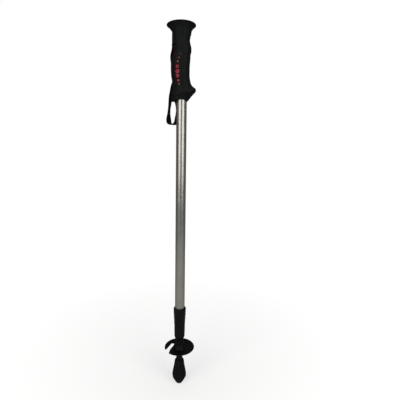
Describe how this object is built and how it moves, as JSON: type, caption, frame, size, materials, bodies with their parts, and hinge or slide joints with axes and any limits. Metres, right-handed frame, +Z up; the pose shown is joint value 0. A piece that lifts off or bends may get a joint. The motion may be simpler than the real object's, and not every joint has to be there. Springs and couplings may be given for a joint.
{
  "type": "telescopic ski pole",
  "caption": "Telescopic twist-lock pole with a moulded two-shot grip, webbing wrist strap, stacked collars, slotted basket and fluted rubber foot, pushed together.",
  "frame": {"origin": "middle of the hand hold, on the axis of the tubes", "axes": "+Z up along the pole towards the pommel, +X towards the fingers, -X towards the palm and the strap"},
  "size_m": [0.0568, 0.0558, 0.6523],
  "materials": {
    "grip_rubber": "matte moulded, fine grain",
    "grip_red": "satin moulded",
    "black_plastic": "satin moulded",
    "webbing": "woven",
    "tube_alloy": "satin drawn",
    "nylon": "moulded",
    "zinc_steel": "zinc plated",
    "carbide": "sintered, ground",
    "foot_rubber": "matte moulded"
  },
  "bodies": {
    "upper": {"grip_cover": "grip_rubber", "grip_core": "grip_red", "pommel_cap": "black_plastic", "strap_end": "webbing", "upper_tube": "tube_alloy", "upper_collar": "black_plastic"},
    "wedge": {"strap_wedge": "black_plastic"},
    "strap": {"wrist_strap": "webbing"},
    "middle_gripper": {"middle_expander": "nylon"},
    "middle_cone": {"middle_cone": "nylon"},
    "middle": {"middle_tube": "tube_alloy", "middle_collar": "black_plastic", "middle_plug": "nylon", "middle_screw": "zinc_steel", "middle_nut": "zinc_steel"},
    "lower_gripper": {"lower_expander": "nylon"},
    "lower_cone": {"lower_cone": "nylon"},
    "lower": {"lower_tube": "tube_alloy", "lower_plug": "nylon", "lower_screw": "zinc_steel", "lower_nut": "zinc_steel", "ferrule": "black_plastic", "tip_holder": "zinc_steel", "tip": "carbide"},
    "basket": {"basket": "black_plastic"},
    "foot": {"rubber_foot": "foot_rubber", "foot_washer": "zinc_steel"}
  },
  "joints": [
    {"name": "strap_swing", "type": "hinge", "parent": "upper", "child": "strap", "pos_m": [-0.0152, 0, 0.0318], "axis": [0, 1, 0], "range_deg": [0, 70]},
    {"name": "wedge_pull", "type": "slide", "parent": "upper", "child": "wedge", "axis": [-1, 0, 0], "range_m": [0, 0.008]},
    {"name": "middle_extend", "type": "slide", "parent": "upper", "child": "middle_gripper", "axis": [0, 0, -1], "range_m": [0, 0.355]},
    {"name": "middle_twist", "type": "hinge", "parent": "middle_gripper", "child": "middle", "pos_m": [0, 0, -0.043], "axis": [0, 0, -1], "range_deg": [0, 1440]},
    {"name": "middle_cone_climb", "type": "slide", "parent": "middle_gripper", "child": "middle_cone", "axis": [0, 0, 1], "range_m": [0, 0.004]},
    {"name": "lower_extend", "type": "slide", "parent": "middle", "child": "lower_gripper", "axis": [0, 0, -1], "range_m": [0, 0.305]},
    {"name": "lower_twist", "type": "hinge", "parent": "lower_gripper", "child": "lower", "pos_m": [0, 0, -0.121], "axis": [0, 0, -1], "range_deg": [0, 1440]},
    {"name": "lower_cone_climb", "type": "slide", "parent": "lower_gripper", "child": "lower_cone", "axis": [0, 0, 1], "range_m": [0, 0.004]},
    {"name": "basket_turn", "type": "hinge", "parent": "lower", "child": "basket", "pos_m": [0, 0, -0.51], "axis": [0, 0, 1], "range_deg": [0, 540]},
    {"name": "foot_pull", "type": "slide", "parent": "lower", "child": "foot", "axis": [0, 0, -1], "range_m": [0, 0.04]}
  ],
  "couplings": [
    {"joint": "middle_cone_climb", "follows": "middle_twist", "m_per_rad": 0.000159},
    {"joint": "lower_cone_climb", "follows": "lower_twist", "m_per_rad": 0.000159}
  ]
}
